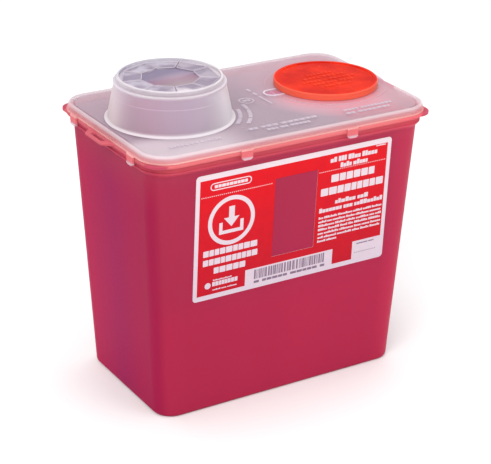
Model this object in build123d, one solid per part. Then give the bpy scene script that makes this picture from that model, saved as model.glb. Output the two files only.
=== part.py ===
"""Sharps container: a tapered tub with a clip-on lid, a flap-topped chimney and a stowed closing cap.

Millimetres. The origin is the centre of the footprint on the surface it stands on: +X along the width
towards the cap, +Y to the back, +Z up, and the label is on the front face at -Y.
"""

from build123d import *
import os
from math import atan2, cos, radians, sin, tan

# Tub: outer width, depth and corner radius where the wall starts and where it meets the collar.
BASE_WIDTH, BASE_DEPTH, BASE_RADIUS = 215.4, 123.5, 16.0
TOP_WIDTH, TOP_DEPTH, TOP_RADIUS = 237.0, 144.9, 19.0
WALL_TOP_Z = 203.5
WALL = 1.8
FLOOR = 2.2
BASE_EDGE_RADIUS = 3.0
BASE_PANEL_INSET = 11.0
BASE_PANEL_DEPTH = 0.8

# Collar: the wall jogs outwards here, with a small bead at its lower edge.
COLLAR_WIDTH, COLLAR_DEPTH, COLLAR_RADIUS = 241.3, 149.2, 20.5
COLLAR_Z = 206.6
BEAD_PROUD = 0.5
BEAD_HEIGHT = 1.1

# Rim: a flat flange with a turned-down lip, sharper corners than the lid and a strap loop at each end.
RIM_WIDTH, RIM_DEPTH, RIM_RADIUS = 246.3, 154.3, 21.6
RIM_CORNER_RADIUS = 12.0
RIM_TOP_Z = 214.8
FLANGE = 1.6
LIP_HEIGHT = 2.7
LIP = 1.2
LOOP_REACH = 131.2
LOOP_FLAT_HALF = 13.0
LOOP_ROOT_HALF = 19.0
LOOP_ROUNDING = 3.0
SLOT_LENGTH, SLOT_WIDTH = 20.0, 5.0
SLOT_X = 126.25

# Clearance between pieces that move against each other.
GAP = 0.3

# Lid: a foot on the rim, a raised top with a rounded shoulder, and a plug that locates in the collar.
FOOT = 1.2
LID_INSET = 0.8
LID_WALL = 1.6
LID_TOP_Z = 221.5
SHOULDER_RADIUS = 3.0
PLUG_WALL = 1.5
PLUG_DEPTH = 6.0

# Snap tabs: two on each side of the lid.
TAB_WIDTH = 9.5
TAB_THICKNESS = 1.4
TAB_BOTTOM_Z = 208.3
TAB_OFFSET = 46.0
TAB_HINGE_GAP = 0.2
TAB_BEAD = 0.4
TAB_BEAD_HEIGHT = 1.7
TAB_CORNER_RADIUS = 3.0

# Chimney: a tapered collar that stands on the lid, with a ledge and a neck that the cap clips onto.
CHIMNEY_X, CHIMNEY_Y = -67.9, -2.6
CHIMNEY_BASE_R = 47.3
CHIMNEY_WALL = 1.6
CHIMNEY_FLARE = 1.8
CHIMNEY_TOP_Z = 254.0
LEDGE_R = 42.2
LEDGE_Z = 250.0
LEDGE_HEIGHT = 1.2
NECK_R = 39.5
NECK_WALL = 1.5
SPIGOT_R = 46.0

# Flaps: a ring of separate trapezoids that bend down on straight hinge lines inside the neck.
FLAP_COUNT = 9
FLAP_THICKNESS = 1.0
FLAP_TOP_Z = 252.0
FLAP_PHASE = 30.0
FLAP_HINGE_CORNER_R = 37.6
FLAP_MOUTH_CORNER_R = 22.0
FLAP_SLIT = 0.7
FLAP_HINGE_GAP = 0.2
FLAP_TIP_ROUNDING = 1.4

# Cap: a shallow disc, stowed on a low ring on the lid.
CAP_X, CAP_Y = 74.0, 1.5
CAP_R = 41.1
CAP_HEIGHT = 5.3
CAP_SKIRT = 1.3
CAP_TOP = 1.4
CAP_RIM_WIDTH = 3.2
CAP_PANEL_DEPTH = 0.5
STOW_DISC_R = 48.0
STOW_DISC_HEIGHT = 0.6
STOW_RING_HEIGHT = 2.6
STOW_RING_WALL = 1.6

# Finger mark: a raised U beside the cap that opens towards it.
FINGER_TIP_X, FINGER_Y = 18.5, 3.2
FINGER_LENGTH, FINGER_WIDTH = 16.0, 14.0
FINGER_RIDGE, FINGER_RIDGE_HEIGHT = 1.2, 0.5

# Label on the front wall: a thin skin with a window that shows the fill level.
LABEL_THICKNESS = 0.2
LABEL_LEFT, LABEL_RIGHT = -84.8, 87.0
LABEL_BOTTOM, LABEL_TOP = 97.0, 200.0
LABEL_RADIUS = 3.0
WINDOW_LEFT, WINDOW_RIGHT = -17.0, 20.5
WINDOW_BOTTOM, WINDOW_TOP = 120.4, 185.4


def block(width, depth, radius, z_low, z_high):
    """Upright block with rounded vertical corners."""
    return extrude(Pos(0, 0, z_low) * RectangleRounded(width, depth, radius), z_high - z_low)


def frustum(low, high):
    """Ruled block between two rounded rectangles, each (width, depth, radius, z)."""
    sections = [Pos(0, 0, z) * RectangleRounded(w, d, r) for w, d, r, z in (low, high)]
    return loft(sections, ruled=True)


def grown(width, depth, radius, by):
    """A rounded rectangle offset outwards by a distance, which is negative for inwards."""
    return width + 2 * by, depth + 2 * by, radius + by


def wall_outline(z):
    """Outer width, depth and corner radius of the tapered wall at a height."""
    t = z / WALL_TOP_Z
    return (
        BASE_WIDTH + t * (TOP_WIDTH - BASE_WIDTH),
        BASE_DEPTH + t * (TOP_DEPTH - BASE_DEPTH),
        BASE_RADIUS + t * (TOP_RADIUS - BASE_RADIUS),
    )


def edges_at(shape, z):
    """The edges of a shape that lie flat at a height."""
    return shape.edges().filter_by_position(Axis.Z, z - 0.001, z + 0.001)


def strap_loop():
    """Flat loop beyond the right end of the rim, with a slot through it."""
    root_x = RIM_WIDTH / 2 - 2 * LIP
    outline = Polyline(
        (root_x, -LOOP_ROOT_HALF),
        (RIM_WIDTH / 2, -LOOP_ROOT_HALF),
        (LOOP_REACH, -LOOP_FLAT_HALF),
        (LOOP_REACH, LOOP_FLAT_HALF),
        (RIM_WIDTH / 2, LOOP_ROOT_HALF),
        (root_x, LOOP_ROOT_HALF),
        close=True,
    )
    face = make_face(outline)
    outer = [v for v in face.vertices() if v.X > LOOP_REACH - 0.001]
    face = fillet(outer, LOOP_ROUNDING)
    face -= Pos(SLOT_X, 0) * SlotOverall(SLOT_LENGTH, SLOT_WIDTH, rotation=90)
    return extrude(Pos(0, 0, RIM_TOP_Z - FLANGE) * face, FLANGE)


def make_tub():
    """Tapered open box whose wall jogs out into a collar and ends in a flange with two loops."""
    base = (BASE_WIDTH, BASE_DEPTH, BASE_RADIUS)
    top = (TOP_WIDTH, TOP_DEPTH, TOP_RADIUS)
    collar = (COLLAR_WIDTH, COLLAR_DEPTH, COLLAR_RADIUS)
    bead = grown(*collar, BEAD_PROUD)
    rim = (RIM_WIDTH, RIM_DEPTH, RIM_RADIUS)

    outer = frustum((*base, 0), (*top, WALL_TOP_Z))
    outer = fillet(edges_at(outer, 0), BASE_EDGE_RADIUS)
    outer += frustum((*top, WALL_TOP_Z), (*bead, COLLAR_Z))
    outer += block(*bead, COLLAR_Z, COLLAR_Z + BEAD_HEIGHT)
    outer += block(*collar, COLLAR_Z, RIM_TOP_Z)
    lip = block(*rim, RIM_TOP_Z - LIP_HEIGHT, RIM_TOP_Z)
    lip -= block(*grown(*rim, -LIP), RIM_TOP_Z - LIP_HEIGHT, RIM_TOP_Z - FLANGE)
    outer += lip
    outer += block(RIM_WIDTH, RIM_DEPTH, RIM_CORNER_RADIUS, RIM_TOP_Z - FLANGE, RIM_TOP_Z)
    loop = strap_loop()
    outer += loop
    outer += mirror(loop, about=Plane.YZ)

    inner = frustum(
        (*grown(*wall_outline(FLOOR), -WALL), FLOOR),
        (*grown(*top, -WALL), WALL_TOP_Z),
    )
    inner = fillet(edges_at(inner, FLOOR), BASE_EDGE_RADIUS - WALL / 2)
    inner += frustum((*grown(*top, -WALL), WALL_TOP_Z), (*grown(*collar, -WALL), COLLAR_Z))
    inner += block(*grown(*collar, -WALL), COLLAR_Z, RIM_TOP_Z)

    tub = outer - inner
    tub -= block(*grown(*base, -BASE_PANEL_INSET), 0, BASE_PANEL_DEPTH)
    return tub


def make_label():
    """Thin skin lying on the tapered front wall, with its window cut out."""
    lean = atan2((TOP_DEPTH - BASE_DEPTH) / 2, WALL_TOP_Z)
    rise = cos(lean)
    wall_plane = Plane(
        origin=(0, -BASE_DEPTH / 2, 0), x_dir=(1, 0, 0), z_dir=(0, -cos(lean), -sin(lean))
    )
    middle = Pos((LABEL_LEFT + LABEL_RIGHT) / 2, (LABEL_BOTTOM + LABEL_TOP) / 2 / rise)
    width, height = LABEL_RIGHT - LABEL_LEFT, (LABEL_TOP - LABEL_BOTTOM) / rise
    sheet = middle * RectangleRounded(width, height, LABEL_RADIUS)
    middle = Pos((WINDOW_LEFT + WINDOW_RIGHT) / 2, (WINDOW_BOTTOM + WINDOW_TOP) / 2 / rise)
    window = middle * Rectangle(WINDOW_RIGHT - WINDOW_LEFT, (WINDOW_TOP - WINDOW_BOTTOM) / rise)
    return extrude(wall_plane * (sheet - window), LABEL_THICKNESS)


def tab_sites():
    """Each snap tab's name, its turn about Z, the rim's reach on that side and the tab's place along it."""
    sites = []
    reaches = (RIM_DEPTH / 2, RIM_WIDTH / 2, RIM_DEPTH / 2, RIM_WIDTH / 2)
    for quarter, side in enumerate(("front", "right", "back", "left")):
        for number, along in enumerate((-TAB_OFFSET, TAB_OFFSET), start=1):
            sites.append((f"snap_tab_{side}_{number}", 90 * quarter, reaches[quarter], along))
    return sites


def tab_hinge_shelf(turn, reach, along):
    """The bit of lid foot that stands out over the rim, from which a snap tab hangs."""
    out = GAP + TAB_THICKNESS
    shelf = Box(TAB_WIDTH, out + FOOT, FOOT, align=(Align.CENTER, Align.MIN, Align.MIN))
    return Rot(0, 0, turn) * Pos(along, -reach - out, RIM_TOP_Z + GAP) * shelf


def make_tab(turn, reach, along):
    """Springy tab with rounded lower corners and a thickened lower edge."""
    top_z = RIM_TOP_Z + GAP - TAB_HINGE_GAP
    height = top_z - TAB_BOTTOM_Z
    shape = Rectangle(TAB_WIDTH, height, align=(Align.CENTER, Align.MAX))
    low = shape.vertices().sort_by(Axis.Y)[:2]
    shape = fillet(low, TAB_CORNER_RADIUS)
    face_plane = Plane(origin=(0, 0, top_z), x_dir=(1, 0, 0), z_dir=(0, -1, 0))
    tab = extrude(face_plane * shape, TAB_THICKNESS)
    edge = shape & Pos(0, TAB_BEAD_HEIGHT - height) * Rectangle(
        TAB_WIDTH, TAB_BEAD_HEIGHT, align=(Align.CENTER, Align.MAX)
    )
    tab += extrude(face_plane * edge, TAB_THICKNESS + TAB_BEAD)
    return Rot(0, 0, turn) * Pos(along, -reach - GAP, 0) * tab


def finger_mark():
    """Raised U on the lid that opens towards the cap."""
    outer = SlotOverall(2 * FINGER_LENGTH, FINGER_WIDTH)
    inner = SlotOverall(2 * (FINGER_LENGTH - FINGER_RIDGE), FINGER_WIDTH - 2 * FINGER_RIDGE)
    half = Rectangle(FINGER_LENGTH, FINGER_WIDTH, align=(Align.MAX, Align.CENTER))
    ridge = (outer - inner) & half
    centre = Pos(FINGER_TIP_X + FINGER_LENGTH, FINGER_Y, LID_TOP_Z)
    return extrude(centre * ridge, FINGER_RIDGE_HEIGHT)


def make_lid():
    """Raised lid with a foot all round, a locating plug, the chimney's hole and the cap's stowing ring."""
    foot_z = RIM_TOP_Z + GAP
    rim = (RIM_WIDTH, RIM_DEPTH, RIM_RADIUS)
    raised = grown(*rim, -LID_INSET)
    cavity = grown(*raised, -LID_WALL)
    plug = grown(COLLAR_WIDTH, COLLAR_DEPTH, COLLAR_RADIUS, -WALL - GAP)

    lid = block(*raised, foot_z, LID_TOP_Z)
    lid = fillet(edges_at(lid, LID_TOP_Z), SHOULDER_RADIUS)
    lid += block(*rim, foot_z, foot_z + FOOT)
    hollow = block(*cavity, foot_z, LID_TOP_Z - LID_WALL)
    hollow = fillet(edges_at(hollow, LID_TOP_Z - LID_WALL), SHOULDER_RADIUS - LID_WALL)
    lid -= hollow
    rib = block(*plug, RIM_TOP_Z - PLUG_DEPTH, LID_TOP_Z - LID_WALL)
    rib -= block(*grown(*plug, -PLUG_WALL), RIM_TOP_Z - PLUG_DEPTH, LID_TOP_Z - LID_WALL)
    lid += rib

    for _, turn, reach, along in tab_sites():
        lid += tab_hinge_shelf(turn, reach, along)

    cap_ring_r = CAP_R - CAP_SKIRT - GAP
    stow = Pos(CAP_X, CAP_Y, LID_TOP_Z) * Cylinder(
        STOW_DISC_R, STOW_DISC_HEIGHT, align=(Align.CENTER, Align.CENTER, Align.MIN)
    )
    ring = Circle(cap_ring_r) - Circle(cap_ring_r - STOW_RING_WALL)
    stow += extrude(Pos(CAP_X, CAP_Y, LID_TOP_Z) * ring, STOW_DISC_HEIGHT + STOW_RING_HEIGHT)
    lid += stow & block(RIM_WIDTH, RIM_DEPTH, RIM_RADIUS, LID_TOP_Z, CHIMNEY_TOP_Z)
    lid += finger_mark() - Pos(CAP_X, CAP_Y, LID_TOP_Z) * Cylinder(STOW_DISC_R, 2 * CAP_HEIGHT)
    lid -= Pos(CHIMNEY_X, CHIMNEY_Y, LID_TOP_Z) * Cylinder(SPIGOT_R, 4 * LID_WALL)
    return lid


def make_chimney():
    """Tapered collar with a ledge and neck at its top and a shelf that carries the flaps."""
    slope = (CHIMNEY_BASE_R - LEDGE_R + BEAD_PROUD) / (LEDGE_Z - LEDGE_HEIGHT - LID_TOP_Z)
    cone_top_r = LEDGE_R - BEAD_PROUD
    flare_z = LID_TOP_Z + CHIMNEY_FLARE
    neck_in = NECK_R - NECK_WALL
    throat_z = LEDGE_Z - LEDGE_HEIGHT
    bottom_z = LID_TOP_Z - LID_WALL
    shelf_in = FLAP_HINGE_CORNER_R * cos(radians(180 / FLAP_COUNT)) - 2 * FLAP_THICKNESS
    lead = NECK_WALL / 3

    foot_r = CHIMNEY_BASE_R + CHIMNEY_FLARE
    flare_r = CHIMNEY_BASE_R - slope * CHIMNEY_FLARE
    outline = [
        Line((SPIGOT_R - CHIMNEY_WALL, bottom_z), (SPIGOT_R, bottom_z)),
        Line((SPIGOT_R, bottom_z), (SPIGOT_R, LID_TOP_Z)),
        Line((SPIGOT_R, LID_TOP_Z), (foot_r, LID_TOP_Z)),
        RadiusArc((foot_r, LID_TOP_Z), (flare_r, flare_z), CHIMNEY_FLARE * 1.6),
        Polyline(
            (flare_r, flare_z),
            (cone_top_r, throat_z),
            (LEDGE_R, throat_z),
            (LEDGE_R, LEDGE_Z),
            (NECK_R, LEDGE_Z),
            (NECK_R, CHIMNEY_TOP_Z - lead),
            (NECK_R - lead, CHIMNEY_TOP_Z),
            (neck_in, CHIMNEY_TOP_Z),
            (neck_in, FLAP_TOP_Z),
            (shelf_in, FLAP_TOP_Z),
            (shelf_in, FLAP_TOP_Z - FLAP_THICKNESS),
            (neck_in, FLAP_TOP_Z - FLAP_THICKNESS),
            (neck_in, throat_z),
            (cone_top_r - CHIMNEY_WALL, throat_z - CHIMNEY_WALL),
            (SPIGOT_R - CHIMNEY_WALL, LID_TOP_Z),
            (SPIGOT_R - CHIMNEY_WALL, bottom_z),
        ),
    ]
    profile = make_face(Plane.XZ * (Curve() + outline))
    chimney = revolve(profile, Axis.Z)
    mouth = RegularPolygon(FLAP_HINGE_CORNER_R, FLAP_COUNT, rotation=FLAP_PHASE + 180 / FLAP_COUNT)
    chimney -= extrude(Pos(0, 0, FLAP_TOP_Z - 2 * FLAP_THICKNESS) * mouth, 4 * FLAP_THICKNESS)
    return Pos(CHIMNEY_X, CHIMNEY_Y, 0) * chimney


def make_flap(number):
    """One flap: a trapezoid between the hinge polygon and the mouth polygon."""
    half = 180 / FLAP_COUNT
    hinge_x = FLAP_HINGE_CORNER_R * cos(radians(half)) - FLAP_HINGE_GAP
    mouth_x = FLAP_MOUTH_CORNER_R * cos(radians(half))
    side = FLAP_SLIT / 2 / cos(radians(half))
    wide = hinge_x * tan(radians(half)) - side
    narrow = mouth_x * tan(radians(half)) - side
    outline = Polyline(
        (hinge_x, -wide), (hinge_x, wide), (mouth_x, narrow), (mouth_x, -narrow), close=True
    )
    face = make_face(outline)
    tips = face.vertices().sort_by(Axis.X)[:2]
    face = fillet(tips, FLAP_TIP_ROUNDING)
    flap = extrude(Pos(0, 0, FLAP_TOP_Z - FLAP_THICKNESS) * face, FLAP_THICKNESS)
    turn = FLAP_PHASE + number * 360 / FLAP_COUNT
    return Pos(CHIMNEY_X, CHIMNEY_Y, 0) * Rot(0, 0, turn) * flap


def make_cap():
    """Shallow disc with a skirt below, a rounded edge and a slightly sunk panel on top."""
    base_z = LID_TOP_Z + STOW_DISC_HEIGHT + GAP
    top_z = LID_TOP_Z + STOW_DISC_HEIGHT + CAP_HEIGHT
    centred = (Align.CENTER, Align.CENTER, Align.MIN)
    cap = Pos(0, 0, base_z) * Cylinder(CAP_R, top_z - base_z, align=centred)
    cap = fillet(edges_at(cap, top_z), CAP_TOP / 2)
    inner_z = top_z - CAP_TOP - CAP_PANEL_DEPTH
    cap -= Pos(0, 0, base_z) * Cylinder(CAP_R - CAP_SKIRT, inner_z - base_z, align=centred)
    panel_z = top_z - CAP_PANEL_DEPTH
    cap -= Pos(0, 0, panel_z) * Cone(
        CAP_R - CAP_RIM_WIDTH - CAP_PANEL_DEPTH, CAP_R - CAP_RIM_WIDTH, CAP_PANEL_DEPTH, align=centred
    )
    return Pos(CAP_X, CAP_Y, 0) * cap


os.makedirs("parts", exist_ok=True)
pieces = {
    "tub": make_tub(),
    "front_label": make_label(),
    "lid": make_lid(),
    "chimney": make_chimney(),
    "cap": make_cap(),
}
for index in range(FLAP_COUNT):
    pieces[f"flap_{index + 1}"] = make_flap(index)
for name, turn, reach, along in tab_sites():
    pieces[name] = make_tab(turn, reach, along)
for name, piece in pieces.items():
    export_step(piece, f"parts/{name}.step")
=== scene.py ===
"""The looks of the sharps container: materials, label print, raised marks, floor, light and camera."""
import math
import random

import bmesh
import bpy
from mathutils import Matrix, Vector


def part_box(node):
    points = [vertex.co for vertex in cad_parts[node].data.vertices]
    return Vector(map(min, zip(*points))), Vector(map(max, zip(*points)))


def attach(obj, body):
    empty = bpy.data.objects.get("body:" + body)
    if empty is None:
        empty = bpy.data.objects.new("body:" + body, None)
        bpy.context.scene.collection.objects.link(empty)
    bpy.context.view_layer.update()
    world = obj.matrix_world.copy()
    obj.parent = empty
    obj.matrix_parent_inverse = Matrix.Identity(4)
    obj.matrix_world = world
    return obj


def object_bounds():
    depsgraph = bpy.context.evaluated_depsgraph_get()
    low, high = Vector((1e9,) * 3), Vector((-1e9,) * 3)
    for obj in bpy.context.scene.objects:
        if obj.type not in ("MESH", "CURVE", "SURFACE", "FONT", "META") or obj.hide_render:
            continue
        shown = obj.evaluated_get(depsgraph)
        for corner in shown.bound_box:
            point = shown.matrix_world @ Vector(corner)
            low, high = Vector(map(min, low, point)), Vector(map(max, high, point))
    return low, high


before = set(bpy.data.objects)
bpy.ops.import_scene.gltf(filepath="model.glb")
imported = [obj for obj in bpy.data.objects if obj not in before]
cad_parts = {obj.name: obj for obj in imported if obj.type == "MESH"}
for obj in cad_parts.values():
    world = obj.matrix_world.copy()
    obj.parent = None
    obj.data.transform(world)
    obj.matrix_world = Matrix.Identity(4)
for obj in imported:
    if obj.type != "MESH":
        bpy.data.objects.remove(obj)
cad_low, cad_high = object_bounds()

MM = 0.001
SCALE_MM = Matrix.Scale(MM, 4)
scene = bpy.context.scene
rng = random.Random(7)

FRONT = Vector((0, -1, 0))
UP = Vector((0, 0, 1))


# ---------------------------------------------------------------- the frame's places
def widest_face(node, towards):
    """A point on, and the normal of, the widest flat area of a CAD node that faces a direction."""
    areas, samples = {}, {}
    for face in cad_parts[node].data.polygons:
        if face.normal.dot(towards) > 0.95:
            level = round(face.center.dot(face.normal), 5)
            areas[level] = areas.get(level, 0) + face.area
            samples[level] = (face.center.copy(), face.normal.copy())
    return samples[max(areas, key=areas.get)]


def middle_of(node):
    low_corner, high_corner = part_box(node)
    return (low_corner + high_corner) / 2


LID_TOP = widest_face("lid", UP)[0].z
CAP_PANEL = widest_face("cap", UP)[0].z
CHIMNEY = middle_of("chimney") / MM
CAP_MIDDLE = middle_of("cap")
LID_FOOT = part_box("snap_tab_front_1")[1].z
RIM_TOP = LID_FOOT - 0.0001
TUB_HALF_DEPTH = 0.0724  # of the tub's wall at its top
TUB_SLOPE = 0.053  # how far the tub's walls lean outwards, as a share of the height
WALL_LEAN = 0.0067  # how far the chimney's wall leans in from its foot to the height of its mouth
FOOT_FLARE = 0.0018  # how far the chimney's foot reaches past its wall
FLAPS = sorted(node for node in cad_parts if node.startswith("flap_"))
TABS = sorted(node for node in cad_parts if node.startswith("snap_tab_"))
STOW_RADIUS = 0.048  # of the low disc on the lid under the cap
# The cap's glow on the lid is painted light.
GLOW_START, GLOW_END = 0.034, 0.074  # distances from the cap's middle over which its glow fades
FINGER_MARK = Vector((25.5, 3.2)) * MM  # middle of the round end of the U beside the cap
FINGER_RADIUS = 7.0  # of the outside of the U, millimetres
FINGER_END = 32.8  # where the U stops, just short of the cap's edge, millimetres

# Plane of the lid's top, in millimetres of the row frame, and of the cap's top panel, from its middle.
LID_PLANE = Matrix.Translation((0, 0, LID_TOP)) @ SCALE_MM
CAP_PLANE = Matrix.Translation((CAP_MIDDLE.x, CAP_MIDDLE.y, CAP_PANEL)) @ SCALE_MM


def label_plane():
    """Plane of the label's face, in millimetres from its lower left corner."""
    point, normal = widest_face("front_label", FRONT)
    upwards = normal.cross(Vector((1, 0, 0))).normalized()
    low_corner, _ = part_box("front_label")
    corner = point - upwards * ((point.z - low_corner.z) / upwards.z)
    corner.x = low_corner.x
    turn = Matrix((Vector((1, 0, 0)), upwards, normal)).transposed().to_4x4()
    return Matrix.Translation(corner) @ turn @ SCALE_MM


LABEL_PLANE = label_plane()
LABEL_WIDTH = (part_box("front_label")[1].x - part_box("front_label")[0].x) / MM
LABEL_HEIGHT = (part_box("front_label")[1].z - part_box("front_label")[0].z) / MM


# ---------------------------------------------------------------- colours
def srgb(red, green, blue):
    """Linear colour from 0 to 255 display values."""
    def channel(value):
        value /= 255
        return value / 12.92 if value <= 0.04045 else ((value + 0.055) / 1.055) ** 2.4
    return channel(red), channel(green), channel(blue), 1.0


def grey(value):
    return value, value, value, 1.0


# ---------------------------------------------------------------- material nodes
class Nodes:
    """A new node material with one Principled shader, and short calls that add nodes to it."""

    def __init__(self, name):
        self.material = bpy.data.materials.new(name)
        self.material.use_nodes = True
        self.tree = self.material.node_tree
        self.shader = self.tree.nodes["Principled BSDF"]

    def add(self, kind):
        return self.tree.nodes.new(kind)

    def feed(self, socket, value):
        """Links a socket, or sets the value, of an input."""
        if isinstance(value, bpy.types.NodeSocket):
            self.tree.links.new(value, socket)
        else:
            socket.default_value = value

    def place(self):
        """The X, Y and Z of a point of the surface, in metres of the row frame."""
        split = self.add("ShaderNodeSeparateXYZ")
        self.feed(split.inputs[0], self.add("ShaderNodeTexCoord").outputs["Object"])
        return split.outputs

    def noise(self, scale, detail=3.0, stretch=(1, 1, 1)):
        """Noise of a number of features per metre."""
        mapping = self.add("ShaderNodeMapping")
        mapping.inputs["Scale"].default_value = stretch
        self.feed(mapping.inputs["Vector"], self.add("ShaderNodeTexCoord").outputs["Object"])
        texture = self.add("ShaderNodeTexNoise")
        texture.inputs["Scale"].default_value = scale
        texture.inputs["Detail"].default_value = detail
        self.feed(texture.inputs["Vector"], mapping.outputs["Vector"])
        return texture.outputs["Fac"]

    def ramp(self, source, stops):
        """Colour ramp over a value; stops are (position, colour)."""
        node = self.add("ShaderNodeValToRGB")
        elements = node.color_ramp.elements
        while len(elements) < len(stops):
            elements.new(0.5)
        for element, (position, colour) in zip(elements, stops):
            element.position = position
            element.color = colour
        self.feed(node.inputs["Fac"], source)
        return node.outputs["Color"]

    def spread(self, source, low, high, to_low=0.0, to_high=1.0, smooth=False):
        """A value mapped from one range to another, and clamped."""
        node = self.add("ShaderNodeMapRange")
        node.interpolation_type = "SMOOTHSTEP" if smooth else "LINEAR"
        ends = {"From Min": low, "From Max": high, "To Min": to_low, "To Max": to_high}
        for name, value in ends.items():
            node.inputs[name].default_value = value
        self.feed(node.inputs["Value"], source)
        return node.outputs["Result"]

    def math(self, operation, first, second=0.0):
        node = self.add("ShaderNodeMath")
        node.operation = operation
        self.feed(node.inputs[0], first)
        self.feed(node.inputs[1], second)
        return node.outputs[0]

    def product(self, first, *others):
        """Values multiplied."""
        for other in others:
            first = self.math("MULTIPLY", first, other)
        return first

    def mix(self, factor, first, second, blend="MIX"):
        """Mix of two colours, whose sockets on the Mix node are inputs 6 and 7 and output 2."""
        node = self.add("ShaderNodeMix")
        node.data_type = "RGBA"
        node.blend_type = blend
        self.feed(node.inputs[0], factor)
        self.feed(node.inputs[6], first)
        self.feed(node.inputs[7], second)
        return node.outputs[2]

    def limb(self, low, high, to_low=0.0, to_high=1.0):
        """Rises where a face turns away from the eye, as the path through a milky wall gets longer."""
        node = self.add("ShaderNodeLayerWeight")
        node.inputs["Blend"].default_value = 0.5
        return self.spread(node.outputs["Facing"], low, high, to_low, to_high, smooth=True)

    def length(self, x, y):
        """Length of a level step."""
        return self.math("SQRT", self.math("ADD", self.product(x, x), self.product(y, y)))

    def distance(self, middle):
        """Level distance from an upright axis, in metres."""
        x, y, _ = self.place()
        return self.length(self.math("SUBTRACT", x, middle.x), self.math("SUBTRACT", y, middle.y))

    def roughness(self, source, low, high):
        self.feed(self.shader.inputs["Roughness"], self.spread(source, 0.3, 0.7, low, high))

    def bump(self, height, strength, distance):
        node = self.add("ShaderNodeBump")
        node.inputs["Strength"].default_value = strength
        node.inputs["Distance"].default_value = distance
        self.feed(node.inputs["Height"], height)
        self.feed(self.shader.inputs["Normal"], node.outputs["Normal"])

    def subsurface(self, weight, radius, scale):
        self.feed(self.shader.inputs["Subsurface Weight"], weight)
        self.shader.inputs["Subsurface Radius"].default_value = radius
        self.shader.inputs["Subsurface Scale"].default_value = scale


# ---------------------------------------------------------------- materials
def tub_plastic():
    """Translucent crimson polypropylene: purplish on its end walls and crimson-pink at its corners by
    painted shade, coral on its thin collar and rim and pinker at its right end by painted light.
    """
    nodes = Nodes("tub_plastic")
    x, y, z = nodes.place()
    # Crimson up the wall, turning lighter coral on the collar and rim: painted glow of light through the
    # thin plastic there.
    body = nodes.ramp(nodes.spread(z, 0.0, RIM_TOP), [
        (0.00, srgb(160, 38, 68)), (0.36, srgb(161, 38, 68)), (0.50, srgb(155, 40, 69)),
        (0.90, srgb(156, 44, 71)), (0.945, srgb(156, 50, 74)), (0.956, srgb(176, 58, 80)),
        (0.964, srgb(186, 72, 88)), (0.972, srgb(188, 72, 86)), (0.980, srgb(190, 78, 88)),
        (0.995, srgb(208, 110, 113))])
    # Pinker towards the right corner of the tub: painted light.
    body = nodes.mix(nodes.spread(x, 0.085, 0.112), body, nodes.mix(0.35, body, srgb(214, 66, 90)))
    # Painted shade on the end walls: purplish and darker, varying across them, weaker towards the top.
    end_wall_shade = nodes.ramp(nodes.spread(y, -TUB_HALF_DEPTH, TUB_HALF_DEPTH), [
        (0.08, srgb(150, 28, 66)), (0.29, srgb(155, 19, 69)), (0.50, srgb(147, 19, 76)),
        (0.71, srgb(158, 22, 73)), (0.92, srgb(170, 26, 69))])
    sideways = nodes.math("ABSOLUTE", x)
    outwards = nodes.math("SUBTRACT", sideways, nodes.product(z, TUB_SLOPE))
    end = nodes.product(nodes.spread(outwards, 0.1005, 0.1065, smooth=True),
                        nodes.spread(z, 0.170, 0.203, 1.0, 0.35, smooth=True))
    body = nodes.mix(end, body, end_wall_shade)
    # Painted shade: the tub's upper corners and corner lugs turn crimson-pink, darker than the coral rim,
    # as their edge-on ends look.
    diagonal = nodes.math("ADD", sideways, nodes.math("ABSOLUTE", y))
    corner = nodes.spread(diagonal, 0.1860, 0.1895, smooth=True)
    body = nodes.mix(corner, body, srgb(174, 70, 90))
    cloud = nodes.spread(nodes.noise(9, detail=2.0, stretch=(1, 1, 0.3)), 0.3, 0.7, 0.94, 1.04)
    nodes.feed(nodes.shader.inputs["Base Color"], nodes.mix(1.0, body, cloud, "MULTIPLY"))
    nodes.roughness(nodes.noise(600, detail=2.0), 0.36, 0.44)
    nodes.bump(nodes.noise(70, detail=1.0), 0.05, 0.0005)
    nodes.shader.inputs["Specular IOR Level"].default_value = 0.03
    nodes.subsurface(0.3, (1.0, 0.25, 0.3), 0.004)
    return nodes.material


def milky(nodes, colour, solid, sheen=0.0):
    """Makes a milky polypropylene that is seen through, from its colour and how solid it looks."""
    nodes.feed(nodes.shader.inputs["Base Color"], colour)
    nodes.feed(nodes.shader.inputs["Alpha"], solid)
    nodes.roughness(nodes.noise(420, detail=2.0), 0.30, 0.36)
    nodes.bump(nodes.noise(60, detail=1.0), 0.05, 0.0005)
    nodes.shader.inputs["Specular IOR Level"].default_value = 0.3
    nodes.shader.inputs["Sheen Weight"].default_value = sheen
    nodes.shader.inputs["Sheen Roughness"].default_value = 0.35
    return nodes.material


def cap_glow(nodes, x, y):
    """How strongly the red cap's painted glow shows on the lid round it, and the glow's pink."""
    outwards = nodes.spread(nodes.distance(CAP_MIDDLE), GLOW_START, GLOW_END)
    glow = nodes.ramp(outwards, [(0.0, grey(0.1)), (0.16, grey(0.95)), (0.35, grey(0.80)),
                                 (0.58, grey(0.62)), (0.80, grey(0.38)), (1.0, grey(0))])
    glow = nodes.product(glow, nodes.spread(y, 0.022, -0.026, 0.3, 1.0, smooth=True),
                         nodes.spread(x, 0.082, 0.116, 1.0, 0.3, smooth=True),
                         nodes.spread(x, 0.010, 0.028, 0.5, 1.0, smooth=True))
    pink = nodes.ramp(outwards, [(0.18, srgb(250, 158, 170)), (0.35, srgb(242, 158, 172)),
                                 (0.58, srgb(236, 172, 186)), (0.90, srgb(232, 166, 182))])
    return glow, pink


def finger_pocket(nodes, x, y):
    """How strongly the darker pocket inside the finger mark's U shows, up to the cap's edge."""
    back = nodes.math("MAXIMUM", nodes.math("SUBTRACT", FINGER_MARK.x, x), 0.0)
    from_middle = nodes.length(back, nodes.math("SUBTRACT", y, FINGER_MARK.y))
    return nodes.product(nodes.spread(from_middle, 0.0058, 0.0044, 0.0, 0.85),
                         nodes.spread(x, 0.037, 0.029, smooth=True))


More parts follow.
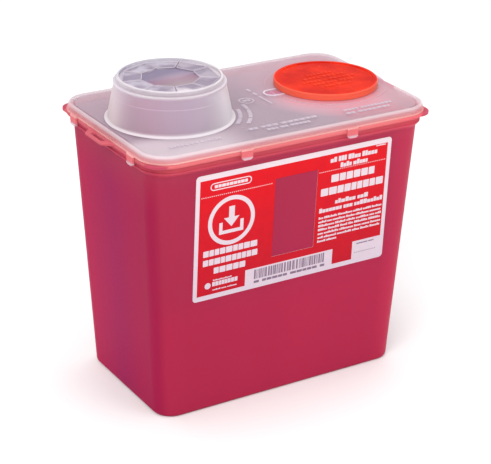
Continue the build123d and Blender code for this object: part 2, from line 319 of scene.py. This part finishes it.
def lid_plastic():
    """Lavender on top; painted light makes it whiter at the front left, pinker at the right and round the
    red cap, salmon with highlight lines down at the red rim; painted shade darkens its back edge.
    """
    nodes = Nodes("lid_plastic")
    x, y, z = nodes.place()
    top = nodes.ramp(nodes.noise(20, detail=3.0),
                     [(0.3, srgb(176, 158, 178)), (0.7, srgb(186, 166, 184))])
    # Painted light: pinker towards the right of the top, most at the front.
    right = nodes.product(nodes.spread(x, 0.050, 0.105, 0.0, 0.65, smooth=True),
                          nodes.spread(y, -0.020, -0.038, 0.5, 1.0, smooth=True))
    top = nodes.mix(right, top, srgb(204, 150, 164))
    # Painted shade: darker pink along the back edge of the top.
    top = nodes.mix(nodes.spread(y, 0.050, 0.064, 0.0, 0.5, smooth=True), top, srgb(176, 128, 146))
    glow, pink = cap_glow(nodes, x, y)
    top = nodes.mix(glow, top, pink)
    # Painted pink glow on the top between the cap and the front edge.
    front_pink_glow = nodes.product(nodes.spread(x, 0.028, 0.060, 0.0, 0.5, smooth=True),
                         nodes.spread(y, -0.040, -0.058, smooth=True),
                         nodes.spread(x, 0.085, 0.105, 1.0, 0.0, smooth=True))
    top = nodes.mix(front_pink_glow, top, srgb(242, 138, 156))
    pocket = finger_pocket(nodes, x, y)
    top = nodes.mix(pocket, top, srgb(190, 112, 144))
    # Painted light: the side of the low disc's step round the cap is made whitish pink, which hides its
    # shade.
    outer = nodes.spread(nodes.distance(CAP_MIDDLE), STOW_RADIUS - 0.0003, STOW_RADIUS - 0.0001)
    step = nodes.product(outer, nodes.spread(z, LID_TOP, LID_TOP + 0.0001))
    top = nodes.mix(step, top, srgb(242, 204, 214))
    # Painted light: whiter towards the front left of the top, and a little more solid there.
    pale = nodes.product(nodes.spread(y, -0.030, -0.048, smooth=True),
                         nodes.spread(x, -0.030, -0.068, smooth=True))
    top = nodes.mix(pale, top, srgb(216, 203, 212))
    share = nodes.spread(z, LID_FOOT, LID_TOP)
    # Down the lid's edge to the rim: a painted salmon glow of the red rim below, a painted highlight line
    # low down and whitish painted highlights on the shoulder.
    skirt_glow_and_highlights = nodes.ramp(share, [
        (0.0, srgb(246, 172, 168)), (0.16, srgb(255, 208, 204)), (0.24, srgb(228, 156, 162)),
        (0.55, srgb(226, 170, 178)), (0.75, srgb(234, 216, 222)), (0.93, srgb(236, 222, 228))])
    colour = nodes.mix(nodes.spread(share, 0.92, 0.995, smooth=True), skirt_glow_and_highlights, top)
    solid = nodes.math("ADD", nodes.limb(0.55, 0.95, 0.36, 0.60), nodes.product(pale, 0.14))
    # The painted glow and the pocket also make the lid more solid there.
    added = nodes.math("MAXIMUM", nodes.product(glow, 0.20), nodes.product(pocket, 0.35))
    return milky(nodes, colour, nodes.math("ADD", solid, added), sheen=0.1)


def chimney_plastic():
    """Pinkish lavender with painted light and shade: darker at the left and greyer to the right, greyer at
    the back of the rim, purplish inside; whitish at its foot, ledge and mouth by painted highlights and
    thicker plastic.
    """
    nodes = Nodes("chimney_plastic")
    x, y, z = nodes.place()
    middle = middle_of("chimney")
    low_corner, high_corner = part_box("chimney")
    share = nodes.spread(z, LID_TOP, high_corner.z)
    wall_radius = (high_corner.x - low_corner.x) / 2 - FOOT_FLARE
    # Painted light and shade round the wall: darker and pinker at the left, lighter and greyer to the
    # right.
    side_light_and_shade = nodes.ramp(nodes.spread(x, middle.x - wall_radius, middle.x + wall_radius / 2), [
        (0.0, srgb(204, 188, 191)), (0.20, srgb(217, 194, 201)), (0.32, srgb(215, 200, 208)),
        (0.60, srgb(217, 210, 219)), (0.80, srgb(223, 219, 223))])
    cloud = nodes.spread(nodes.noise(24, detail=3.0, stretch=(1, 1, 0.5)), 0.3, 0.7, 0.96, 1.04)
    side_light_and_shade = nodes.mix(1.0, side_light_and_shade, cloud, "MULTIPLY")
    side_light_and_shade = nodes.mix(nodes.spread(share, 0.81, 0.84), side_light_and_shade, srgb(194, 184, 192))
    upright = nodes.math("ADD", nodes.distance(middle), nodes.product(share, WALL_LEAN))
    inside = nodes.product(nodes.spread(upright, wall_radius - 0.0012, wall_radius - 0.0006, 1.0, 0.0),
                           nodes.spread(share, 0.80, 0.83, 1.0, 0.0))
    # Painted light and shade on the inner wall: pale low down, purplish higher up, shifting from left to
    # right, and darker purple on the near side.
    across = nodes.spread(x, middle.x, middle.x + 0.034, -0.15, 0.15)
    inside_light_and_shade = nodes.ramp(nodes.math("SUBTRACT", share, across), [
        (0.02, srgb(208, 172, 200)), (0.22, srgb(255, 236, 242)), (0.42, srgb(240, 208, 232)),
        (0.60, srgb(166, 132, 202))])
    far = nodes.spread(y, middle.y - 0.012, middle.y + 0.016, smooth=True)
    inside_light_and_shade = nodes.mix(far, srgb(186, 142, 184), inside_light_and_shade)
    colour = nodes.mix(inside, side_light_and_shade, inside_light_and_shade)
    outside = nodes.math("SUBTRACT", 1.0, inside)
    # Whitish lines at the foot, halfway up, at the ledge and at the mouth: painted highlights on those
    # edges, partly the thicker plastic there; they make the wall more solid too.
    highlight_lines = nodes.ramp(share, [(0.0, grey(0.8)), (0.03, grey(0.7)), (0.06, grey(0.2)), (0.10, grey(0)),
                               (0.59, grey(0)), (0.605, grey(0.2)), (0.62, grey(0)),
                               (0.81, grey(0)), (0.838, grey(0.3)), (0.876, grey(0.45)),
                               (0.885, grey(0.2)), (0.97, grey(0.2)), (0.995, grey(0.5))])
    highlight_lines = nodes.product(highlight_lines, outside)
    colour = nodes.mix(highlight_lines, colour, srgb(236, 226, 232))
    # Painted shade: greyer at the back of the rim above the ledge.
    back = nodes.product(nodes.spread(y, 0.0, 0.030, smooth=True), nodes.spread(share, 0.86, 0.90))
    colour = nodes.mix(back, colour, srgb(176, 168, 184))
    shell = nodes.math("MAXIMUM", nodes.spread(highlight_lines, 0.0, 1.0, 0.36, 1.0),
                       nodes.limb(0.15, 0.70, 0.36, 0.82))
    solid = nodes.math("ADD", nodes.product(shell, outside), nodes.product(inside, 0.65))
    nodes.subsurface(nodes.spread(inside, 0.0, 1.0, 0.3, 1.0), (1.0, 1.0, 1.0), 0.005)
    return milky(nodes, colour, solid, sheen=0.25)


def flap_plastic():
    """Greyish lavender with soft frosted patches, whiter on the front flaps by painted light, duller on
    the right ones by painted shade.
    """
    nodes = Nodes("flap_plastic")
    x, y, _ = nodes.place()
    middle = middle_of("chimney")
    # Painted light: the front flaps whiter.
    near = nodes.spread(y, -0.020, -0.036, smooth=True)
    light = nodes.mix(near, srgb(188, 180, 194), srgb(226, 216, 222))
    # Painted shade: the right flaps duller.
    right = nodes.spread(x, middle.x + 0.010, middle.x + 0.024, smooth=True)
    light = nodes.mix(right, light, srgb(172, 160, 174))
    patches = nodes.spread(nodes.noise(60, detail=2.0), 0.40, 0.62, smooth=True)
    colour = nodes.mix(patches, srgb(150, 138, 158), light)
    return milky(nodes, colour, nodes.spread(patches, 0.0, 1.0, 0.62, 0.80))


def mark_plastic(name, solid):
    """The lid's plastic where it is raised, a little whiter than around it."""
    nodes = Nodes(name)
    colour = nodes.ramp(nodes.noise(60, detail=2.0),
                        [(0.3, srgb(210, 198, 212)), (0.7, srgb(220, 208, 220))])
    return milky(nodes, colour, nodes.limb(0.55, 0.95, solid, solid + 0.25))


def tab_plastic():
    """Coral, a painted glow of the red rim, where a tab lies over it, whitish on its thicker lower edge.
    """
    nodes = Nodes("tab_plastic")
    low_corner, high_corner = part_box(TABS[0])
    share = nodes.spread(nodes.place()[2], low_corner.z, high_corner.z)
    edge = nodes.ramp(nodes.noise(300, detail=2.0),
                      [(0.3, srgb(216, 184, 196)), (0.7, srgb(226, 196, 206))])
    # Painted glow of the red rim beneath: coral above the tab's lower edge.
    colour = nodes.mix(nodes.spread(share, 0.22, 0.36, smooth=True), edge, srgb(232, 116, 122))
    return milky(nodes, colour, nodes.limb(0.55, 0.95, 0.55, 0.80))


def cap_plastic(name, low_colour, high_colour):
    """Translucent orange-red plastic, cloudy and with a fine grain, lighter on the cap's thin skirt and
    outer edge by painted light.
    """
    nodes = Nodes(name)
    low_corner, high_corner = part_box("cap")
    radius = (high_corner.x - low_corner.x) / 2
    top = nodes.ramp(nodes.noise(45, detail=4.0), [(0.36, low_colour), (0.62, high_colour)])
    specks = nodes.spread(nodes.noise(520, detail=1.0), 0.66, 0.74, 0.0, 0.5)
    top = nodes.mix(specks, top, srgb(240, 96, 44))
    # Painted light: lighter orange at the outer edge and on the thin skirt, a highlight on the rounded
    # edge and glow through the thin plastic.
    edge = nodes.spread(nodes.distance(CAP_MIDDLE), radius - 0.0011, radius - 0.0003)
    nodes.feed(nodes.shader.inputs["Base Color"], nodes.mix(edge, top, srgb(228, 96, 74)))
    nodes.roughness(nodes.noise(500, detail=2.0), 0.30, 0.38)
    nodes.bump(nodes.noise(80, detail=1.0), 0.05, 0.0005)
    nodes.shader.inputs["Specular IOR Level"].default_value = 0.03
    nodes.subsurface(0.3, (1.0, 0.3, 0.15), 0.003)
    return nodes.material


def film(name, low_colour, high_colour, roughness):
    """Printed label film: a colour that shifts a little from bottom to top, under a smooth skin."""
    nodes = Nodes(name)
    low_corner, high_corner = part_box("front_label")
    fade = nodes.spread(nodes.place()[2], low_corner.z, high_corner.z)
    mottle = nodes.spread(nodes.noise(160, detail=4.0), 0.3, 0.7, -0.12, 0.12)
    colour = nodes.ramp(nodes.math("ADD", fade, mottle), [(0.0, low_colour), (1.0, high_colour)])
    nodes.feed(nodes.shader.inputs["Base Color"], colour)
    nodes.roughness(nodes.noise(1100, detail=2.0), roughness - 0.03, roughness + 0.03)
    nodes.bump(nodes.noise(90, detail=1.0), 0.05, 0.0003)
    nodes.shader.inputs["Specular IOR Level"].default_value = 0.10
    return nodes.material


TUB = tub_plastic()
LID = lid_plastic()
CHIMNEY_WALL = chimney_plastic()
FLAP = flap_plastic()
LIP = mark_plastic("lip_plastic", 0.60)
MARK = mark_plastic("mark_plastic", 0.42)
RIDGE = mark_plastic("ridge_plastic", 0.75)
TAB = tab_plastic()
CAP = cap_plastic("cap_plastic", srgb(186, 20, 6), srgb(212, 38, 12))
# A lighter copy of the cap's plastic for its raised marks: painted light where they catch it.
CAP_MARK_LIT = cap_plastic("cap_mark_lit_plastic", srgb(198, 28, 8), srgb(222, 48, 18))
LABEL_WHITE = film("label_white", srgb(196, 180, 192), srgb(214, 198, 204), 0.40)
LABEL_RED = film("label_red", srgb(172, 12, 34), srgb(206, 14, 26), 0.36)
LABEL_DARK = film("label_dark", srgb(120, 100, 120), srgb(128, 108, 126), 0.40)


def paint(node, material):
    """Gives a CAD node one material."""
    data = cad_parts[node].data
    data.materials.clear()
    data.materials.append(material)


def paint_nodes():
    paint("tub", TUB)
    paint("lid", LID)
    paint("chimney", CHIMNEY_WALL)
    paint("cap", CAP)
    paint("front_label", LABEL_WHITE)
    for node in FLAPS:
        paint(node, FLAP)
    for node in TABS:
        paint(node, TAB)


# ---------------------------------------------------------------- outlines, in millimetres
def rounded_block(x, y, width, height, radius, turn=0.0, steps=3):
    """Closed outline of a rounded rectangle about a middle point, turned by an angle in radians."""
    half_w, half_h = width / 2 - radius, height / 2 - radius
    points = []
    for quarter, (sign_x, sign_y) in enumerate(((1, 1), (-1, 1), (-1, -1), (1, -1))):
        for step in range(steps + 1):
            angle = (quarter + step / steps) * math.pi / 2
            points.append((sign_x * half_w + radius * math.cos(angle),
                           sign_y * half_h + radius * math.sin(angle)))
    cosine, sine = math.cos(turn), math.sin(turn)
    return [(x + px * cosine - py * sine, y + px * sine + py * cosine) for px, py in points]


def circle(x, y, radius, steps=48):
    angles = [2 * math.pi * i / steps for i in range(steps)]
    return [(x + radius * math.cos(a), y + radius * math.sin(a)) for a in angles]


LOW_LETTER = 0.72  # height of a small letter's block, as a share of a capital's


def letter_spans(words, length):
    """Middle and width of each letter-sized block in a row of words that fills a length, from 0."""
    letter_gap, word_gap = 0.10, 0.50
    spans, cursor = [], 0.0
    for word, count in enumerate(words):
        if word:
            cursor += word_gap - letter_gap
        for _ in range(count):
            width = rng.uniform(0.62, 1.0)
            spans.append((cursor + width / 2, width))
            cursor += width + letter_gap
    total = cursor - letter_gap
    return [(middle * length / total, width * length / total) for middle, width in spans]


def text_row(words, left, right, middle_y, height, mixed=False):
    """Outlines of a row of plain blocks where the object has lettering; mixed makes most of them lower."""
    outlines = []
    for middle, width in letter_spans(words, right - left):
        tall = height * rng.choice((LOW_LETTER, LOW_LETTER, 1.0)) if mixed else height
        corner = min(width, tall) * 0.08
        y = middle_y - (height - tall) / 2
        outlines.append(rounded_block(left + middle, y, width, tall, corner, steps=2))
    return outlines


def text_arc(words, centre, radius, start, end, height):
    """The same row bent round a centre, between two angles in degrees, its foot towards the centre."""
    outlines = []
    arc = math.radians(end - start) * radius
    for middle, width in letter_spans(words, abs(arc)):
        angle = math.radians(start) + math.copysign(middle, arc) / radius
        x, y = centre[0] + radius * math.cos(angle), centre[1] + radius * math.sin(angle)
        corner = min(width, height) * 0.3
        outlines.append(rounded_block(x, y, width, height, corner, angle - math.pi / 2, steps=2))
    return outlines


def inset(outline, distance):
    """A convex outline, anticlockwise, moved inwards."""
    moved = []
    for before, here, after in zip(outline[-1:] + outline[:-1], outline, outline[1:] + outline[:1]):
        first = Vector((here[0] - before[0], here[1] - before[1])).normalized()
        second = Vector((after[0] - here[0], after[1] - here[1])).normalized()
        normal = Vector((-first.y - second.y, first.x + second.x)).normalized()
        reach = distance / max(0.3, normal.dot(Vector((-first.y, first.x))))
        moved.append((here[0] + normal.x * reach, here[1] + normal.y * reach))
    return moved


# ---------------------------------------------------------------- pieces
def flat_piece(name, outlines, plane, base, thickness, material, body, bevel=0.0):
    """Closed outlines filled on a plane, with holes where they nest, and thickened from a base height."""
    curve = bpy.data.curves.new(name, "CURVE")
    curve.dimensions = "2D"
    curve.fill_mode = "BOTH"
    curve.extrude = thickness / 2 - bevel
    curve.bevel_depth = bevel
    curve.bevel_resolution = 1
    curve.offset = -bevel
    for outline in outlines:
        spline = curve.splines.new("POLY")
        spline.points.add(len(outline) - 1)
        for point, (x, y) in zip(spline.points, outline):
            point.co = (x, y, 0, 1)
        spline.use_cyclic_u = True
    carrier = bpy.data.objects.new(name, curve)
    mesh = bpy.data.meshes.new_from_object(carrier)
    bpy.data.objects.remove(carrier)
    bpy.data.curves.remove(curve)
    mesh.transform(plane @ Matrix.Translation((0, 0, base + thickness / 2)))
    weld = bmesh.new()
    weld.from_mesh(mesh)
    bmesh.ops.remove_doubles(weld, verts=weld.verts, dist=1e-6)
    bmesh.ops.recalc_face_normals(weld, faces=weld.faces)
    weld.to_mesh(mesh)
    weld.free()
    mesh.materials.clear()
    mesh.materials.append(material)
    for face in mesh.polygons:
        face.use_smooth = bevel > 0
    mesh.set_sharp_from_angle(angle=math.radians(50))
    piece = bpy.data.objects.new(name, mesh)
    scene.collection.objects.link(piece)
    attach(piece, body)
    return piece


# ---------------------------------------------------------------- label print
PRINT = 0.04  # thickness of each printed layer, millimetres
BORDER = 3.4

# Places on the label, in millimetres from its lower left corner.
CODE_LEFT, CODE_RIGHT, CODE_TOP = 45.0, 123.8, 17.2
SERIAL_LEFT, SERIAL_TOP = 142.2, 19.4
WINDOW = (67.8, 105.3, 23.4, 88.4)
PICTOGRAM = (31.0, 62.6)
DOTTED_LINE_V = 85.2


def red_field():
    """The red area: a notched outline with a hole for the window."""
    left, right = BORDER, LABEL_WIDTH - BORDER
    bottom, top = BORDER + 0.6, LABEL_HEIGHT - BORDER - 0.8
    outer = [(left, bottom), (CODE_LEFT, bottom), (CODE_LEFT, CODE_TOP), (CODE_RIGHT, CODE_TOP),
             (CODE_RIGHT, bottom), (SERIAL_LEFT, bottom), (SERIAL_LEFT, SERIAL_TOP), (right, SERIAL_TOP),
             (right, top), (left, top)]
    low_u, high_u, low_v, high_v = WINDOW
    window = [(low_u, low_v), (high_u, low_v), (high_u, high_v), (low_u, high_v)]
    return [outer, window]


def pictogram():
    """A plain sign for dropping something in: a ring round an arrow that points down into a tray."""
    u, v = PICTOGRAM
    ring = [circle(u, v, 20.0, 72), circle(u, v, 16.6, 72)]
    arrow = [(u - 2.4, v + 11.5), (u - 2.4, v + 2.6), (u - 6.6, v + 2.6), (u, v - 5.0),
             (u + 6.6, v + 2.6), (u + 2.4, v + 2.6), (u + 2.4, v + 11.5)]
    tray = [(u - 10.4, v - 0.6), (u - 10.4, v - 10.2), (u + 10.4, v - 10.2), (u + 10.4, v - 0.6),
            (u + 7.6, v - 0.6), (u + 7.6, v - 7.4), (u - 7.6, v - 7.4), (u - 7.6, v - 0.6)]
    return ring + [arrow, tray]


def dotted_line(left, right, v):
    pitch = 1.7
    count = int((right - left) / pitch)
    return [circle(left + (i + 0.5) * pitch, v, 0.42, 10) for i in range(count)]


def white_print():
    """All that is white on the red field: sign, plain rows where there is lettering, and dotted lines."""
    outlines = pictogram()
    outlines += [rounded_block(29.5, 92.6, 35.0, 6.2, 3.0), rounded_block(29.5, 92.6, 33.4, 4.6, 2.2)]
    outlines += text_row((9,), 15.5, 43.5, 92.6, 2.4)
    outlines += text_row((9,), 7.8, 54.3, 38.7, 5.0)
    outlines += text_row((10,), 7.8, 54.8, 31.1, 5.0)
    outlines += text_row((5,), 17.3, 44.6, 23.4, 5.0)
    outlines += [circle(12.5, 11.6, 2.6, 24)]
    outlines += text_row((12,), 17.0, 33.0, 15.4, 1.2, mixed=True)
    outlines += text_row((8,), 16.4, 38.3, 12.2, 3.6)
    outlines += text_row((5, 3, 6), 16.8, 37.8, 7.4, 1.2, mixed=True)
    outlines += dotted_line(BORDER + 0.8, WINDOW[0] - 1.0, DOTTED_LINE_V)
    outlines += dotted_line(WINDOW[1] + 1.0, LABEL_WIDTH - BORDER - 0.4, DOTTED_LINE_V)
    outlines += text_row((8,), 157.6, 166.4, 98.0, 1.2, mixed=True)
    outlines += text_row((2, 3, 4, 5), 116.2, 158.8, 93.8, 4.2, mixed=True)
    outlines += text_row((4, 5), 125.6, 150.4, 88.2, 4.0, mixed=True)
    outlines += text_row((6,), 118.0, 157.6, 78.2, 6.2)
    outlines += text_row((9,), 109.2, 166.4, 68.0, 6.2)
    outlines += text_row((6, 3), 123.0, 153.3, 58.2, 3.8, mixed=True)
    outlines += text_row((7, 3, 9), 108.8, 167.2, 52.8, 3.8, mixed=True)
    for row, v in enumerate((46.6, 43.3, 40.0, 36.7, 33.4, 30.1)):
        words = rng.sample((3, 4, 5, 6, 7, 8, 9), 6)
        outlines += text_row(words, 108.8, 167.2 - 0.6 * (row % 2), v, 1.9, mixed=True)
    outlines += text_row((5, 6), 108.8, 126.4, 26.9, 1.9, mixed=True)
    return outlines


def dark_print():
    """Stripes that stand for a code and say nothing, blocks below them, and the rows in the other box."""
    outlines = []
    cursor, end = 53.0, 116.0
    while cursor < end:
        width = rng.choice((0.5, 0.5, 0.9, 1.4))
        outlines.append(rounded_block(cursor + width / 2, 11.8, width, 8.0, 0.05, steps=1))
        cursor += width + rng.choice((0.4, 0.7, 0.7, 1.2))
    outlines += text_row((1, 5, 5, 1), 53.0, 117.0, 5.3, 2.0)
    outlines += text_row((6, 3), 146.2, 162.4, 17.0, 1.4, mixed=True)
    outlines += dotted_line(144.5, 166.0, 9.2)
    return outlines


def make_label_print():
    flat_piece("label_red_print", red_field(), LABEL_PLANE, 0.0, PRINT, LABEL_RED, "tub")
    flat_piece("label_white_print", white_print(), LABEL_PLANE, PRINT, PRINT, LABEL_WHITE, "tub")
    flat_piece("label_dark_print", dark_print(), LABEL_PLANE, 0.0, PRINT, LABEL_DARK, "tub")


# ---------------------------------------------------------------- embossed marks
def make_lid_marks():
    """Raised rows round the chimney and along the front edge, a small ring and dashes, as on the lid."""
    marks = text_arc((8, 5), CHIMNEY, 52.6, -14, -48, 3.2)
    marks += text_arc((4, 7, 4), CHIMNEY, 60.2, -5, -45, 3.2)
    marks += [circle(-1.0, -2.0, 6.2), circle(-1.0, -2.0, 5.0)]
    marks += text_row((2,), -4.2, 2.2, -2.0, 3.0)
    for y, length, width in ((17.6, 5.6, 2.4), (8.0, 6.0, 2.4), (-7.7, 19.0, 1.9)):
        marks.append(rounded_block(12.8, y, width, length, 0.9))
    marks += text_row((2, 3, 6), -32.0, 27.5, -56.5, 3.4)
    marks += text_row((3, 2, 5), -20.0, 17.5, -63.0, 3.4)
    marks += text_row((4, 9), 52.0, 96.0, -56.5, 3.2)
    marks += text_row((2, 7), 50.0, 90.0, -63.0, 3.2)
    marks += text_row((5, 2, 6), -101.0, -58.0, -61.0, 3.2)
    flat_piece("lid_marks", marks, LID_PLANE, 0.0, 0.4, MARK, "lid", bevel=0.1)


def make_finger_ridge():
    """The U-shaped ridge that opens towards the cap and marks where a finger goes under its edge."""
    x, y = FINGER_MARK / MM
    outer, inner = FINGER_RADIUS + 0.15, FINGER_RADIUS - 1.35
    angles = [math.radians(90 + 180 * step / 16) for step in range(17)]
    ridge = [(FINGER_END, y + outer)]
    ridge += [(x + outer * math.cos(a), y + outer * math.sin(a)) for a in angles]
    ridge += [(FINGER_END, y - outer), (FINGER_END, y - inner)]
    ridge += [(x + inner * math.cos(a), y + inner * math.sin(a)) for a in reversed(angles)]
    ridge += [(FINGER_END, y + inner)]
    flat_piece("finger_ridge", [ridge], LID_PLANE, 0.0, 1.0, RIDGE, "lid", bevel=0.2)


def make_cap_marks():
    """Raised rows in the cap's sunk panel."""
    marks = []
    for words, half, y in (((7,), 12.0, 10.5), ((4, 5), 19.0, 3.5), ((5, 3, 4), 24.0, -3.5),
                           ((6, 4), 19.0, -10.5), ((3, 4), 12.0, -17.5)):
        marks += text_row(words, -half, half, y, 3.6)
    flat_piece("cap_marks", marks, CAP_PLANE, 0.0, 0.22, CAP_MARK_LIT, "cap", bevel=0.08)


def top_outline(node):
    """The corners of a flap's top face, anticlockwise, in millimetres, and the face's height in metres."""
    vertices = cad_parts[node].data.vertices
    top = max(v.co.z for v in vertices)
    corners = {(round(v.co.x / MM, 4), round(v.co.y / MM, 4)) for v in vertices if v.co.z > top - 1e-6}
    middle = middle_of(node) / MM
    return sorted(corners, key=lambda p: math.atan2(p[1] - middle.y, p[0] - middle.x)), top


def make_flap_lips():
    """The fine raised lip round each flap."""
    for node in FLAPS:
        outline, top = top_outline(node)
        plane = Matrix.Translation((0, 0, top)) @ SCALE_MM
        rings = [inset(outline, 0.15), inset(outline, 0.75)]
        flat_piece(f"{node}_lip", rings, plane, 0.0, 0.4, LIP, node, bevel=0.1)


# ---------------------------------------------------------------- floor, light and camera
def make_floor():
    bpy.ops.mesh.primitive_plane_add(size=6)
    floor = bpy.context.object
    floor.name = "floor"
    nodes = Nodes("floor_pale")
    pale = nodes.ramp(nodes.noise(3, detail=2.0), [(0.3, grey(0.87)), (0.7, grey(0.90))])
    nodes.feed(nodes.shader.inputs["Base Color"], pale)
    nodes.shader.inputs["Roughness"].default_value = 0.8
    floor.data.materials.append(nodes.material)


def area_light(name, place, target, size, power):
    data = bpy.data.lights.new(name, "AREA")
    data.shape = "SQUARE"
    data.size = size
    data.energy = power
    light = bpy.data.objects.new(name, data)
    scene.collection.objects.link(light)
    light.location = place
    light.rotation_euler = (Vector(target) - Vector(place)).to_track_quat("-Z", "Y").to_euler()


def make_light():
    world = bpy.data.worlds.new("studio")
    world.use_nodes = True
    background = world.node_tree.nodes["Background"]
    background.inputs["Color"].default_value = (1, 1, 1, 1)
    background.inputs["Strength"].default_value = 0.75
    scene.world = world
    middle = (0, 0, 0.12)
    area_light("key", (-1.3, -1.1, 1.5), middle, 1.2, 24)
    area_light("fill", (0.9, -1.5, 1.0), middle, 1.2, 9)
    area_light("top", (0.1, 0.3, 1.9), middle, 1.4, 14)


def make_camera():
    """Looks at the middle of the object from its front left, a little above."""
    azimuth, elevation, roll = math.radians(-31.52), math.radians(24.07), math.radians(0.935)
    distance, lens = 1.3542, 124.95
    aim = Vector((0.0015, 0, cad_high.z * 0.434))
    back = Vector((math.sin(azimuth) * math.cos(elevation), -math.cos(azimuth) * math.cos(elevation),
                   math.sin(elevation)))
    data = bpy.data.cameras.new("camera")
    data.lens = lens
    data.sensor_width = 36
    camera = bpy.data.objects.new("camera", data)
    scene.collection.objects.link(camera)
    turn = (-back).to_track_quat("-Z", "Y").to_matrix().to_4x4() @ Matrix.Rotation(roll, 4, "Z")
    camera.matrix_world = Matrix.Translation(aim + back * distance) @ turn
    scene.camera = camera


make_camera()
paint_nodes()
make_label_print()
make_lid_marks()
make_finger_ridge()
make_cap_marks()
make_flap_lips()
make_floor()
make_light()
scene.view_settings.view_transform = "Standard"
scene.cycles.transparent_max_bounces = 32
